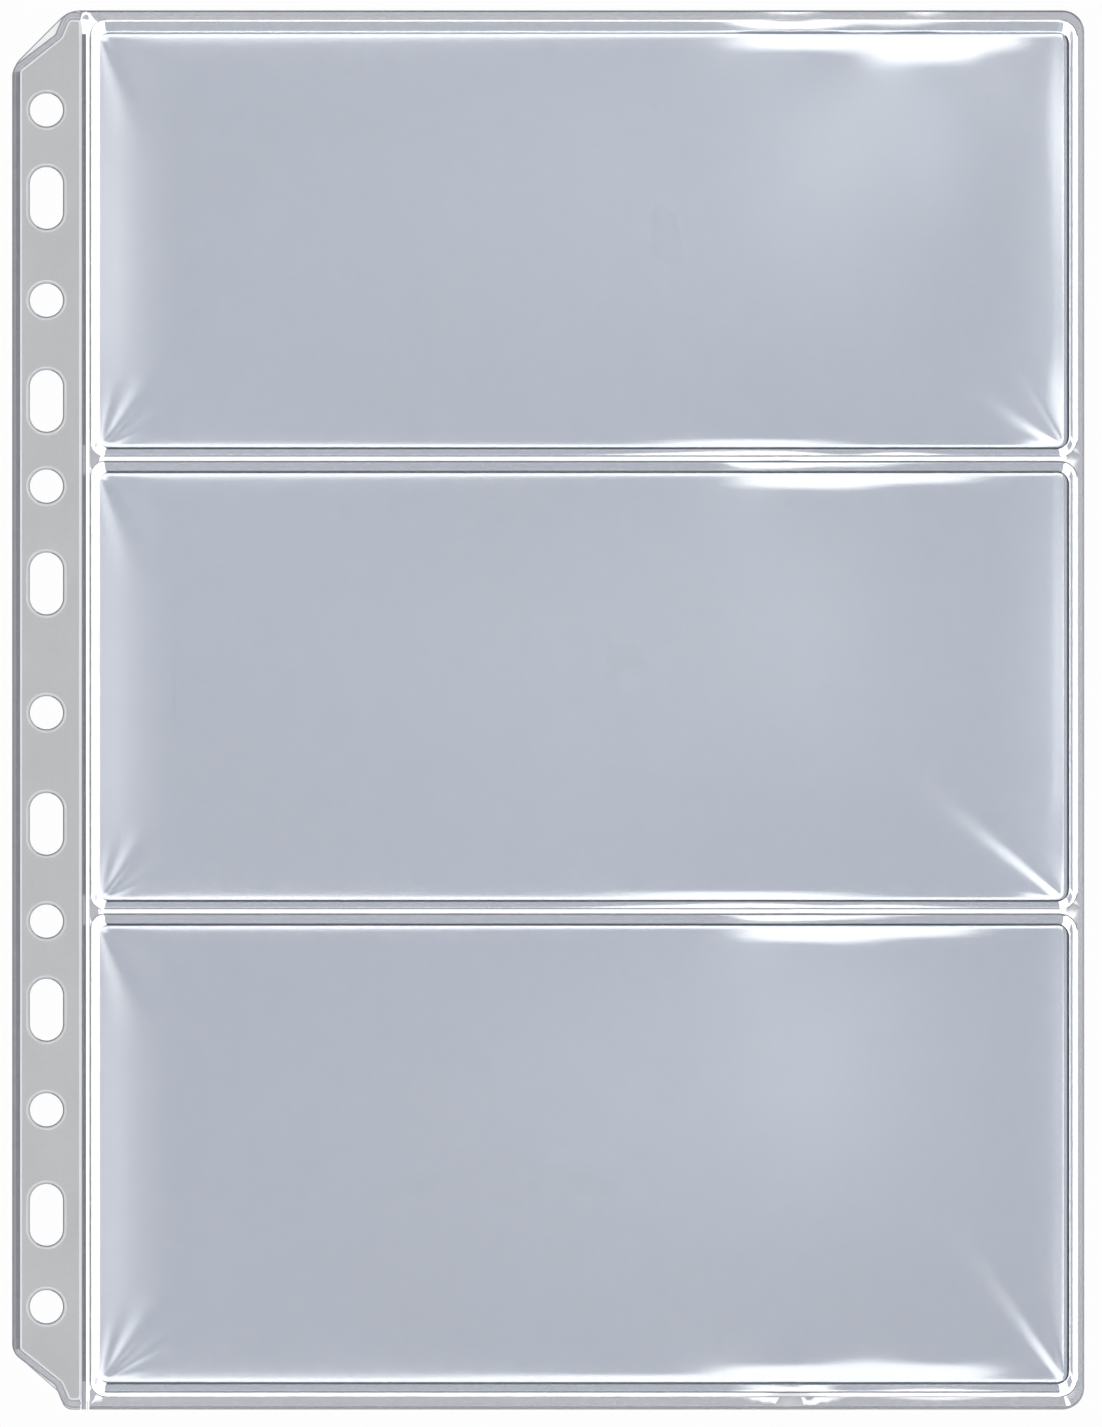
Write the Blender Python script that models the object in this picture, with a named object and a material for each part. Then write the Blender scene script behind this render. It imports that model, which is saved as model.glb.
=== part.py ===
"""Clear banknote album page, lying on its back.

A punched binding margin carries a page of three welded pockets on a flex line.
+X runs from the margin to the pockets, +Y to the page's top edge, +Z out of its front.
The origin is the middle of the page's outline, on the surface that it lies on. Metres.
"""

import math

import bmesh
import bpy
from mathutils import Vector, geometry

# Plan sizes, from the page's left edge to its right edge
MARGIN_WIDTH = 0.0130  # left edge to the flex line
WELD_LAND = 0.00115  # flex line to the pockets' weld line
POCKET_WIDTH = 0.1796  # weld line to weld line
RIGHT_RIM = 0.00115  # weld line to the right edge

# Plan sizes, from the top edge to the bottom edge
TOP_RIM = 0.0017
POCKET_HEIGHTS = {"top": 0.0794, "middle": 0.0815, "bottom": 0.0872}  # weld line to weld line
POCKET_WEB = 0.0008  # flat web between two pockets
BOTTOM_RIM = 0.0030

# Film
FILM = 0.0002  # one sheet of clear film
FUSED_FILM = 0.0004  # two sheets melted together in the margin
SEAT_GAP = 0.00005  # between films that lie on each other
CREASE_GAP = 0.00045  # between a pocket's roll and its free film

# Binding margin
STRIP_THICKNESS = 0.0004
STRIP_INSET = 0.0015  # width of the film rim left of the strip
STRIP_END_INSET = 0.0018  # film rim above and below the strip's tips
STRIP_TO_FLEX = 0.0006  # strip's right edge to the flex line
STRIP_TIP_WIDTH = 0.0020
STRIP_STEP_RUN = 0.00135  # from the tip's corner in to the foot of its step
STRIP_STEP_DROP = 0.0032  # from the tip to the foot of its step
STRIP_CHAMFER = 0.0060  # height of the slant from the foot to the strip's left edge
STRIP_RADIUS = 0.0009
STRIP_FOOT_RADIUS = 0.0022
CHAMFER = 0.0102  # height of the margin's cut top corner
CHAMFER_LAND = 0.0028  # from that cut to the flex line, along the top edge
CHAMFER_RADIUS = 0.0052
LOWER_CHAMFER = 0.0106  # height of the margin's cut bottom corner
LOWER_FOOT_LAND = 0.0045  # from the foot of the step in that corner to the flex line
LOWER_STEP_RUN = 0.0010
LOWER_STEP_DROP = 0.0031
LOWER_FOOT_RADIUS = 0.0013
LOWER_TOE_RADIUS = 0.0019
LOWER_CORNER_RADIUS = 0.0030

# Flex line
FLEX_HALF_GAP = 0.0003  # flex line to the margin film, and to the back sheet
FRONT_SETBACK = 0.0004  # flex line to the front sheet
FLEX_WEB_THICKNESS = 0.0001
FLEX_WEB_SIDE_GAP = 0.00005

# Ring holes, their centres measured up from the middle of the page
HOLE_EDGE = 0.0062  # left edge to the holes' centre line
HOLE_DIAMETER = 0.0060
SLOT_LENGTH = 0.0112
STRIP_HOLE_MARGIN = 0.0005  # film left showing round each hole
ROUND_HOLES = (0.1091, 0.0745, 0.0407, -0.0005, -0.0384, -0.0727, -0.1085)
SLOT_HOLES = (0.0931, 0.0562, 0.0230, -0.0207, -0.0545, -0.0918)

# Pocket seams
PAGE_RADIUS = 0.0040  # right corners of the page
WELD_RADIUS = 0.0036  # corners of a pocket's weld line
ROLL_WIDTH = 0.0018  # weld line to crease
ROLL_HEIGHT = 0.0008

# Pillow of a pocket's free film
PILLOW_RISE = 0.0018
SHOULDER_SHARE = 0.45  # of the rise, made close to the crease
SHOULDER_REACH = 0.0007
CROWN_REACH = 0.0060
CROWN_WIDTH = 0.0180  # crease to the level middle
CORNER_SPREAD = 0.35  # growth of the corner radius towards the middle

# Facets
ARC_STEPS = 5
HOLE_FACETS = 20
ROLL_STEPS = 6
PILLOW_RINGS = 7
FILL_NEARNESS = 1e-7  # points this close count as one when a sheet is triangulated

# Worked out from the sizes above
PAGE_WIDTH = MARGIN_WIDTH + WELD_LAND + POCKET_WIDTH + RIGHT_RIM
PAGE_HEIGHT = TOP_RIM + sum(POCKET_HEIGHTS.values()) + 2 * POCKET_WEB + BOTTOM_RIM
LEFT, RIGHT = -PAGE_WIDTH / 2, PAGE_WIDTH / 2
BOTTOM, TOP = -PAGE_HEIGHT / 2, PAGE_HEIGHT / 2
FLEX_X = LEFT + MARGIN_WIDTH
FLEX_Z = FUSED_FILM / 2
HOLE_X = LEFT + HOLE_EDGE
WELD_LEFT = FLEX_X + WELD_LAND
WELD_RIGHT = WELD_LEFT + POCKET_WIDTH
FRONT_Z = FILM + SEAT_GAP  # underside of the front film where it is flat
CREASE_INSET = ROLL_WIDTH + CREASE_GAP  # weld line to the edge of a pocket's free film


def pocket_spans():
    """Lower and upper weld line of each pocket, by name."""
    spans, upper = {}, TOP - TOP_RIM
    for name, height in POCKET_HEIGHTS.items():
        spans[name] = (upper - height, upper)
        upper -= height + POCKET_WEB
    return spans


def rounded_outline(corners):
    """Points round a polygon given counter-clockwise as (x, y, radius), with an arc at each corner."""
    points = []
    for i, (x, y, radius) in enumerate(corners):
        corner = Vector((x, y))
        back = (Vector(corners[i - 1][:2]) - corner).normalized()
        ahead = (Vector(corners[(i + 1) % len(corners)][:2]) - corner).normalized()
        if radius == 0:
            points.append(corner)
            continue
        half = back.angle(ahead) / 2
        centre = corner + (back + ahead).normalized() * radius / math.sin(half)
        first = corner + back * radius / math.tan(half) - centre
        turn = math.copysign(math.pi - 2 * half, back.y * ahead.x - back.x * ahead.y)
        start = math.atan2(first.y, first.x)
        for step in range(ARC_STEPS + 1):
            angle = start + turn * step / ARC_STEPS
            points.append(centre + radius * Vector((math.cos(angle), math.sin(angle))))
    return points


def rounded_rectangle(left, right, bottom, top, radius):
    corners = ((right, top), (left, top), (left, bottom), (right, bottom))
    return rounded_outline([(x, y, radius) for x, y in corners])


def hole_outline(y, length, diameter):
    """A ring hole: a circle, drawn out along the page where its length is more than its diameter."""
    points = []
    for step in range(HOLE_FACETS):
        angle = (step + 0.5) * 2 * math.pi / HOLE_FACETS
        centre_y = y + math.copysign((length - diameter) / 2, math.sin(angle))
        reach = diameter / 2 * Vector((math.cos(angle), math.sin(angle)))
        points.append(Vector((HOLE_X, centre_y)) + reach)
    return points


def ring_holes(margin):
    """Outlines of all the ring holes, each wider than the film's own by a margin."""
    size = HOLE_DIAMETER + 2 * margin
    holes = [hole_outline(y, size, size) for y in ROUND_HOLES]
    holes += [hole_outline(y, SLOT_LENGTH + 2 * margin, size) for y in SLOT_HOLES]
    return holes


def clear_scene():
    for obj in list(bpy.data.objects):
        bpy.data.objects.remove(obj, do_unlink=True)


def material(name, colour, roughness, alpha):
    made = bpy.data.materials.new(name)
    made.use_nodes = True
    shader = made.node_tree.nodes["Principled BSDF"]
    shader.inputs["Base Color"].default_value = (*colour, 1.0)
    shader.inputs["Roughness"].default_value = roughness
    shader.inputs["Metallic"].default_value = 0.0
    shader.inputs["Alpha"].default_value = alpha
    return made


def hinge_empty(name, location):
    """An empty on a hinge's line, which carries what turns on it."""
    empty = bpy.data.objects.new(name, None)
    bpy.context.collection.objects.link(empty)
    empty.location = location
    return empty


def film_object(name, mesh, thickness, finish, bottom, carrier=None):
    """A sheet object from the mesh of its lower surface, set in its place, with its wall added upwards."""
    obj = bpy.data.objects.new(name, mesh)
    bpy.context.collection.objects.link(obj)
    mesh.materials.append(finish)
    obj.parent = carrier
    obj.location = Vector((0, 0, bottom)) - (carrier.location if carrier else Vector())
    wall = obj.modifiers.new("wall", "SOLIDIFY")
    wall.thickness = thickness
    wall.offset = 1.0
    wall.use_even_offset = True
    return obj


def add_ring(bm, points, height=0.0):
    """Vertices of a closed loop at one height."""
    return [bm.verts.new((p.x, p.y, height)) for p in points]


def bridge(bm, outer, inner):
    for i in range(len(outer)):
        bm.faces.new((outer[i - 1], outer[i], inner[i], inner[i - 1]))


def fill(bm, rings):
    """Triangles between the first ring and the others, which are convex windows in it."""
    verts, owners, edges = [], [], []
    for number, ring in enumerate(rings):
        first = len(verts)
        edges += [(first + i, first + (i + 1) % len(ring)) for i in range(len(ring))]
        owners += [number] * len(ring)
        verts += ring
    flat = [vert.co.xy for vert in verts]
    found = geometry.delaunay_2d_cdt(flat, edges, [], 1, FILL_NEARNESS)
    for triangle in found[2]:
        corners = [found[3][i][0] for i in triangle]
        sides = {owners[i] for i in corners}
        if sides == {0} or len(sides) > 1:
            bm.faces.new([verts[i] for i in corners])


def finish_mesh(bm, name):
    """The mesh of a sheet whose faces all look up."""
    bm.normal_update()
    bmesh.ops.reverse_faces(bm, faces=[f for f in bm.faces if f.normal.z < 0])
    mesh = bpy.data.meshes.new(name)
    bm.to_mesh(mesh)
    bm.free()
    return mesh


def flat_mesh(name, outline, holes=()):
    bm = bmesh.new()
    fill(bm, [add_ring(bm, points) for points in (outline, *holes)])
    return finish_mesh(bm, name)


def margin_outline():
    """Fused film of the margin: a plain cut corner at the top, and one with a step at the bottom."""
    right = FLEX_X - FLEX_HALF_GAP
    foot = FLEX_X - LOWER_FOOT_LAND
    return rounded_outline(
        (
            (right, BOTTOM, 0),
            (right, TOP, 0),
            (FLEX_X - CHAMFER_LAND, TOP, CHAMFER_RADIUS),
            (LEFT, TOP - CHAMFER, CHAMFER_RADIUS),
            (LEFT, BOTTOM + LOWER_CHAMFER, LOWER_CORNER_RADIUS),
            (foot, BOTTOM + LOWER_STEP_DROP, LOWER_FOOT_RADIUS),
            (foot + LOWER_STEP_RUN, BOTTOM, LOWER_TOE_RADIUS),
        )
    )


def strip_outline():
    """Reinforcing strip, whose cut corners end in a step up to a narrow tip."""
    left, right = LEFT + STRIP_INSET, FLEX_X - STRIP_TO_FLEX
    top, bottom = TOP - STRIP_END_INSET, BOTTOM + STRIP_END_INSET
    tip = right - STRIP_TIP_WIDTH
    foot = tip - STRIP_STEP_RUN
    corner_drop = STRIP_STEP_DROP + STRIP_CHAMFER
    return rounded_outline(
        (
            (right, bottom, STRIP_RADIUS),
            (right, top, STRIP_RADIUS),
            (tip, top, STRIP_RADIUS),
            (foot, top - STRIP_STEP_DROP, STRIP_FOOT_RADIUS),
            (left, top - corner_drop, STRIP_RADIUS),
            (left, bottom + corner_drop, STRIP_RADIUS),
            (foot, bottom + STRIP_STEP_DROP, STRIP_FOOT_RADIUS),
            (tip, bottom, STRIP_RADIUS),
        )
    )


def page_outline(left):
    """Outline of a sheet right of the flex line."""
    return rounded_outline(
        ((RIGHT, TOP, PAGE_RADIUS), (left, TOP, 0), (left, BOTTOM, 0), (RIGHT, BOTTOM, PAGE_RADIUS))
    )


def roll_profile():
    """The roll in section: how far inside the weld line, and how high."""
    for step in range(ROLL_STEPS + 1):
        share = step / ROLL_STEPS
        yield ROLL_WIDTH * share, ROLL_HEIGHT * math.sin(math.pi * share)


def pillow_profile():
    """The free film in section: how far inside its edge, and how high."""
    for step in range(PILLOW_RINGS + 1):
        inset = CROWN_WIDTH * (step / PILLOW_RINGS) ** 2
        shoulder = 1 - math.exp(-inset / SHOULDER_REACH)
        crown = 1 - math.exp(-inset / CROWN_REACH)
        share = SHOULDER_SHARE * shoulder + (1 - SHOULDER_SHARE) * crown
        yield inset, PILLOW_RISE * share


def front_mesh():
    """Flat rim and webs of the front film, with a roll round each pocket's window."""
    bm = bmesh.new()
    borders = [add_ring(bm, page_outline(FLEX_X + FRONT_SETBACK))]
    for low, high in pocket_spans().values():
        rings = []
        for inset, height in roll_profile():
            box = (WELD_LEFT + inset, WELD_RIGHT - inset, low + inset, high - inset)
            rings.append(add_ring(bm, rounded_rectangle(*box, WELD_RADIUS - inset), height))
        for outer, inner in zip(rings, rings[1:]):
            bridge(bm, outer, inner)
        borders.append(rings[0])
    fill(bm, borders)
    return finish_mesh(bm, "front_sheet")


def pocket_mesh(name, hinge, top):
    """Pillowed film of one pocket, about its hinge on the lower crease."""
    radius = WELD_RADIUS - CREASE_INSET
    left, right = WELD_LEFT + CREASE_INSET, WELD_RIGHT - CREASE_INSET
    height = top - CREASE_INSET - hinge
    bm = bmesh.new()
    rings = []
    for inset, rise in pillow_profile():
        box = (left + inset, right - inset, inset, height - inset)
        rings.append(add_ring(bm, rounded_rectangle(*box, radius + CORNER_SPREAD * inset), rise))
    for outer, inner in zip(rings, rings[1:]):
        bridge(bm, outer, inner)
    bm.faces.new(rings[-1])
    return finish_mesh(bm, name)


def build():
    clear_scene()
    film = material("clear_film", (0.60, 0.65, 0.73), 0.08, 0.45)
    fused = material("fused_film", (0.52, 0.53, 0.55), 0.20, 0.70)
    satin = material("satin_strip", (0.50, 0.51, 0.52), 0.45, 0.90)

    margin = flat_mesh("margin_film", margin_outline(), ring_holes(0))
    film_object("margin_film", margin, FUSED_FILM, fused, 0)
    strip = flat_mesh("punched_strip", strip_outline(), ring_holes(STRIP_HOLE_MARGIN))
    film_object("punched_strip", strip, STRIP_THICKNESS, satin, FUSED_FILM + SEAT_GAP)
    web_half = FLEX_HALF_GAP - FLEX_WEB_SIDE_GAP
    web = rounded_rectangle(FLEX_X - web_half, FLEX_X + web_half, BOTTOM, TOP, 0)
    web_bottom = FLEX_Z - FLEX_WEB_THICKNESS / 2
    film_object("flex_web", flat_mesh("flex_web", web), FLEX_WEB_THICKNESS, fused, web_bottom)

    page_hinge = hinge_empty("page_hinge", (FLEX_X, 0, FLEX_Z))
    back = flat_mesh("back_sheet", page_outline(FLEX_X + FLEX_HALF_GAP))
    film_object("back_sheet", back, FILM, film, 0, page_hinge)
    film_object("front_sheet", front_mesh(), FILM, fused, FRONT_Z, page_hinge)

    for name, (low, high) in pocket_spans().items():
        hinge_y = low + CREASE_INSET
        node = f"pocket_film_{name}"
        pocket = film_object(node, pocket_mesh(node, hinge_y, high), FILM, film, FRONT_Z, page_hinge)
        pocket.location.y = hinge_y


build()
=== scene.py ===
import math

import bmesh
import bpy
import numpy as np
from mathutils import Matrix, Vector, geometry


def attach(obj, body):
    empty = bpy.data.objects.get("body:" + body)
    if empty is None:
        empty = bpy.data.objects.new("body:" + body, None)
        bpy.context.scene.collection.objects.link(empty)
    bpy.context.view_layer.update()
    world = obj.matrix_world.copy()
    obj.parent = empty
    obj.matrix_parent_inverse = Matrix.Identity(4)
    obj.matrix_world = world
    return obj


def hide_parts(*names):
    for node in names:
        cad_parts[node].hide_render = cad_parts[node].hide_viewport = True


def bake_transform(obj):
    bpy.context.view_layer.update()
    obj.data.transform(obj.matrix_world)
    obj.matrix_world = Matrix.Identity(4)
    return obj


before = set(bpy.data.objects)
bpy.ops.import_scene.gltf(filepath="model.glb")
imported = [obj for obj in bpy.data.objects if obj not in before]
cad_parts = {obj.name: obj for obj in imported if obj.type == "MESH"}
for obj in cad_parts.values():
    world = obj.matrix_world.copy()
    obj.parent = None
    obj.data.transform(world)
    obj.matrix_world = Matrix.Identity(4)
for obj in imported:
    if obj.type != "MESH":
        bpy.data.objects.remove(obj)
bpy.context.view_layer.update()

mm = 0.001
# the page in millimetres, as the solids have it
page = {
    "left": -97.45, "right": 97.45, "bottom": -127.2, "top": 127.2,
    "flex": -84.45,  # middle of the flex groove
    "weldLeft": -83.3, "weldRight": 96.3,
    "cornerRadius": 4.0, "cornerSteps": 12,
    "frontLevel": 0.25,  # underside of the front film where it lies flat
    "film": 0.2,
    "rowGap": 2.5,  # longest edge along the rim
}
pockets = {  # weld lines below and above each pocket
    "top": {"low": 46.1, "high": 125.5},
    "middle": {"low": -36.2, "high": 45.3},
    "bottom": {"low": -124.9, "high": -37.0},
}


def smoothStep(low, high, value):
    t = np.clip((value - low) / (high - low), 0.0, 1.0)
    return t * t * (3 - 2 * t)


# finishes: colour, alpha of one surface, roughness, index of refraction, specular level
glossy, dull = (0.07, 1.8, 1.0), (0.20, 1.4, 0.2)
finishTable = {
    "backFilm": ((0.60, 0.64, 0.70), 0.06, *glossy),
    "pocketFilm": ((0.150, 0.222, 0.375), 0.30, *glossy),
    # painted glow: paler, duller film beside the right crease and along the top rim's crease
    "edgeFilm": ((0.36, 0.41, 0.50), 0.45, *dull),
    "rollFilm": ((0.29, 0.35, 0.47), 0.34, *glossy),
    "rimFilm": ((0.43, 0.46, 0.52), 0.42, *glossy),
    # painted highlight: near-white film put where a reflection of the soft boxes should be
    "weldFilm": ((0.97, 0.97, 0.98), 0.75, 0.20, 1.8, 1.0),
    # painted shade: dark and grey lines in creases, seams and grooves, and along the film's cut edges
    "creaseFilm": ((0.10, 0.11, 0.135), 0.62, *dull),
    "seamLine": ((0.13, 0.14, 0.17), 0.58, *dull),
    "seamShade": ((0.30, 0.33, 0.38), 0.50, *dull),
    "cutEdge": ((0.12, 0.13, 0.16), 0.62, *dull),
    "edgeShade": ((0.26, 0.27, 0.30), 0.52, *dull),
    "marginFilm": ((0.80, 0.81, 0.83), 0.05, *glossy),
    # painted light and shade round the holes: a lit side and a shaded side of each lip
    "lipDark": ((0.20, 0.215, 0.25), 0.60, *dull),
    "lipPale": ((0.50, 0.53, 0.58), 0.55, *dull),
    # painted light and shade: the rim bead's lit outer slope, its shaded inner slope (also the groove's
    # walls), and a paler sheen near its ends
    "beadOuter": ((0.24, 0.25, 0.28), 0.65, 0.25, 1.4, 0.3),
    "beadInner": ((0.15, 0.16, 0.18), 0.70, 0.25, 1.4, 0.3),
    "beadPale": ((0.30, 0.32, 0.36), 0.55, 0.16, 1.5, 0.5),
    # painted shadow in the flex groove's valley
    "grooveFilm": ((0.10, 0.105, 0.12), 0.66, 0.30, 1.4, 0.2),
    "satinStrip": ((0.50, 0.505, 0.515), 0.92, 0.40, 1.4, 0.15),
    # painted highlights: the pale rounded edge of the strip and the pale lips round its holes
    "stripEdge": ((0.80, 0.82, 0.86), 0.90, 0.20, 1.4, 0.3),
    "stripLip": ((0.66, 0.67, 0.70), 0.90, 0.22, 1.5, 0.6),
}
glowTint = (0.225, 0.235, 0.240)  # added to the pocket film's colour as a painted glow, a reflection of the soft boxes painted in
filmGrain = {  # slow clouds in the colour, fine haze in the gloss
    "cloudScale": 14.0, "cloudDetail": 3.0, "cloudSpan": (0.3, 0.7), "cloudDepth": 0.05,
    "hazeAndGlowScale": 420.0, "hazeAndGlowDetail": 2.0, "hazeDepth": 0.0, "glossSpread": 0.05,
    "bump": 0.0002, "bumpDistance": 0.0005,
}
satinGrain = {
    **filmGrain, "cloudScale": 60.0, "cloudDepth": 0.03,
    "hazeAndGlowScale": 3200.0, "hazeDepth": 0.06, "glossSpread": 0.10, "bump": 0.05,
}


def mathNode(tree, operation, *values):
    # each value is a number or another node's output
    made = tree.nodes.new("ShaderNodeMath")
    made.operation = operation
    for socket, value in zip(made.inputs, values):
        if isinstance(value, float):
            socket.default_value = value
        else:
            tree.links.new(value, socket)
    return made.outputs["Value"]


def rangeNode(tree, value, least, most, low=0.0, high=1.0, kind="LINEAR"):
    # from least to most while value goes from low to high
    made = tree.nodes.new("ShaderNodeMapRange")
    made.interpolation_type = kind
    for socket, number in (("From Min", low), ("From Max", high), ("To Min", least), ("To Max", most)):
        made.inputs[socket].default_value = number
    tree.links.new(value, made.inputs["Value"])
    return made.outputs["Result"]


def mixNode(tree, share, first, second):
    made = tree.nodes.new("ShaderNodeMixShader")
    for socket, value in zip(made.inputs, (share, first, second)):
        tree.links.new(value, socket)
    return made.outputs["Shader"]


def makeFinish(name, colour, alpha, roughness, ior, level, grain):
    made = bpy.data.materials.new(name)
    made.use_nodes = True
    tree = made.node_tree
    nodes, links = tree.nodes, tree.links
    shader = nodes["Principled BSDF"]
    for socket, number in (("Alpha", alpha), ("IOR", ior), ("Specular IOR Level", level)):
        shader.inputs[socket].default_value = number
    place = nodes.new("ShaderNodeTexCoord")
    noises = []
    for kind in ("cloud", "hazeAndGlow"):
        noise = nodes.new("ShaderNodeTexNoise")
        noise.inputs["Scale"].default_value = grain[kind + "Scale"]
        noise.inputs["Detail"].default_value = grain[kind + "Detail"]
        links.new(place.outputs["Object"], noise.inputs["Vector"])
        noises.append(noise.outputs["Fac"])
    clouds, hazeAndGlow = noises
    tint = nodes.new("ShaderNodeValToRGB")
    for element, position, sign in zip(tint.color_ramp.elements, grain["cloudSpan"], (-1, 1)):
        element.position = position
        element.color = (*(min(1.0, c * (1 + sign * grain["cloudDepth"])) for c in colour), 1)
    links.new(clouds, tint.inputs["Fac"])
    grainy = nodes.new("ShaderNodeVectorMath")  # fine light and dark in the colour
    grainy.operation = "SCALE"
    links.new(tint.outputs["Color"], grainy.inputs["Vector"])
    speck = rangeNode(tree, hazeAndGlow, 1 - grain["hazeDepth"], 1 + grain["hazeDepth"])
    links.new(speck, grainy.inputs["Scale"])
    colourOut = grainy.outputs["Vector"]
    # the pocket film adds a painted glow to its colour from an attribute on its vertices
    if name == "pocketFilm":
        glowShare = nodes.new("ShaderNodeAttribute")
        glowShare.attribute_name = "hazeAndGlow"
        glowAdd = nodes.new("ShaderNodeVectorMath")
        glowAdd.operation = "MULTIPLY_ADD"
        glowAdd.inputs[1].default_value = glowTint
        links.new(glowShare.outputs["Vector"], glowAdd.inputs[0])
        links.new(colourOut, glowAdd.inputs[2])
        colourOut = glowAdd.outputs["Vector"]
    links.new(colourOut, shader.inputs["Base Color"])
    gloss = rangeNode(tree, hazeAndGlow, roughness, roughness + grain["glossSpread"])
    links.new(gloss, shader.inputs["Roughness"])
    ripple = nodes.new("ShaderNodeBump")
    ripple.inputs["Strength"].default_value = grain["bump"]
    ripple.inputs["Distance"].default_value = grain["bumpDistance"]
    links.new(hazeAndGlow, ripple.inputs["Height"])
    links.new(ripple.outputs["Normal"], shader.inputs["Normal"])
    return made


finishes = {name: makeFinish(name, *look, satinGrain if name == "satinStrip" else filmGrain)
            for name, look in finishTable.items()}
print("finishes made:", len(finishes))


# making sheets
sheeting = {
    "smoothAngle": 50,  # edges sharper than this stay sharp
    "upward": 0.3,  # an upper face looks up at least this much
    "touch": 1e-6, "merge": 1e-5,  # closer than this is in the same place
}


def paint(obj, zones):
    # one finish name for each face
    names = sorted(set(zones))
    for name in names:
        obj.data.materials.append(finishes[name])
    obj.data.polygons.foreach_set("material_index", [names.index(zone) for zone in zones])


def thicken(obj, wall):
    # the shaped surface is the underside, and the wall is added above it
    bpy.ops.object.select_all(action="DESELECT")
    bpy.context.view_layer.objects.active = obj
    obj.select_set(True)
    solid = obj.modifiers.new("wall", "SOLIDIFY")
    solid.thickness = wall * mm
    solid.offset = 1.0
    bpy.ops.object.modifier_apply(modifier=solid.name)
    bpy.ops.object.shade_smooth_by_angle(angle=math.radians(sheeting["smoothAngle"]))


def formedSheet(name, verts, faces, zones, wall):
    mesh = bpy.data.meshes.new(name)
    mesh.from_pydata([(x * mm, y * mm, z * mm) for x, y, z in verts], [], faces)
    obj = bpy.data.objects.new(name, mesh)
    bpy.context.collection.objects.link(obj)
    paint(obj, zones)
    bm = bmesh.new()
    bm.from_mesh(mesh)
    bm.normal_update()
    bmesh.ops.reverse_faces(bm, faces=[f for f in bm.faces if f.normal.z < 0])
    bm.to_mesh(mesh)
    bm.free()
    thicken(obj, wall)
    return obj


def gridSheet(name, xs, ys):
    # a grid primitive with its columns at xs and its rows at ys, and each vertex's and face's column and row
    bpy.ops.mesh.primitive_grid_add(x_subdivisions=len(xs) - 1, y_subdivisions=len(ys) - 1, size=1.0)
    obj = bpy.context.object
    obj.name = obj.data.name = name
    spots = np.empty(len(obj.data.vertices) * 3)
    obj.data.vertices.foreach_get("co", spots)
    spots = spots.reshape(-1, 3)
    column = np.rint((spots[:, 0] + 0.5) * (len(xs) - 1)).astype(int)
    row = np.rint((spots[:, 1] + 0.5) * (len(ys) - 1)).astype(int)
    corners = np.empty(len(obj.data.polygons) * 4, dtype=int)
    obj.data.loops.foreach_get("vertex_index", corners)
    corners = corners.reshape(-1, 4)
    return obj, column, row, column[corners].min(1), row[corners].min(1)


def moveVertices(obj, x, y, z):
    obj.data.vertices.foreach_set("co", (np.stack((x, y, z), axis=1) * mm).ravel())
    obj.data.update()


def fillBetween(rings):
    # triangles between the first ring and convex windows in it, as indices into all the rings' points
    points, owner, edges = [], [], []
    for number, ring in enumerate(rings):
        first = len(points)
        edges += [(first + i, first + (i + 1) % len(ring)) for i in range(len(ring))]
        owner += [number] * len(ring)
        points += [Vector((p[0], p[1])) for p in ring]
    insideOnly = 1
    _, _, filled, origins, *_ = geometry.delaunay_2d_cdt(points, edges, [], insideOnly, sheeting["merge"])
    triangles = []
    for triangle in filled:
        corners = [origins[i][0] for i in triangle]
        sides = {owner[i] for i in corners}
        if sides == {0} or len(sides) > 1:
            triangles.append(corners)
    return triangles


def roundedOutline(corners, steps):
    # corners run counter-clockwise as (x, y, radius)
    points = []
    for i, (x, y, radius) in enumerate(corners):
        if radius == 0:
            points.append((x, y))
            continue
        corner = Vector((x, y))
        back = (Vector(corners[i - 1][:2]) - corner).normalized()
        ahead = (Vector(corners[(i + 1) % len(corners)][:2]) - corner).normalized()
        half = back.angle(ahead) / 2
        centre = corner + (back + ahead).normalized() * radius / math.sin(half)
        first = corner + back * radius / math.tan(half) - centre
        turn = math.copysign(math.pi - 2 * half, back.y * ahead.x - back.x * ahead.y)
        start = math.atan2(first.y, first.x)
        for step in range(steps + 1):
            angle = start + turn * step / steps
            points.append((centre.x + radius * math.cos(angle), centre.y + radius * math.sin(angle)))
    return points


def divided(ring, guide, longest):
    # ring with points added on the edges that are long in guide
    points = []
    for i, (x, y) in enumerate(ring):
        nextX, nextY = ring[(i + 1) % len(ring)]
        cuts = max(1, math.ceil(math.dist(guide[i], guide[(i + 1) % len(guide)]) / longest))
        points += [(x + (nextX - x) * k / cuts, y + (nextY - y) * k / cuts) for k in range(cuts)]
    return points


def addRing(verts, points, z):
    # a point may bring its own rise over z
    first = len(verts)
    verts += [(x, y, z + sum(rise)) for x, y, *rise in points]
    return list(range(first, len(verts)))


def ringBand(faces, zones, outer, inner, zone):
    # zone is a finish, or gives one from a face's two places on the ring, or None for no face
    for i in range(len(outer)):
        j = (i + 1) % len(outer)
        finish = zone if isinstance(zone, str) else zone(i, j)
        if finish is not None:
            faces.append((outer[i], outer[j], inner[j], inner[i]))
            zones.append(finish)


def fillRings(verts, faces, zones, rings, zone):
    # zone is a finish, or gives one from a triangle's middle
    flat = [i for ring in rings for i in ring]
    for triangle in fillBetween([[verts[i][:2] for i in ring] for ring in rings]):
        corners = [flat[i] for i in triangle]
        faces.append(corners)
        middle = [sum(verts[i][axis] for i in corners) / 3 for axis in (0, 1)]
        zones.append(zone if isinstance(zone, str) else zone(*middle))


def stations(count, length, first):
    # from 0 to length, drawn together at both ends until the first gap is small enough
    t = np.linspace(-1, 1, count)
    power, more, places = 0.5, 0.05, t
    while (places[1] - places[0]) * length / 2 > first:
        power += more
        places = np.tanh(power * t) / np.tanh(power)
    return (places + 1) / 2 * length


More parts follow.
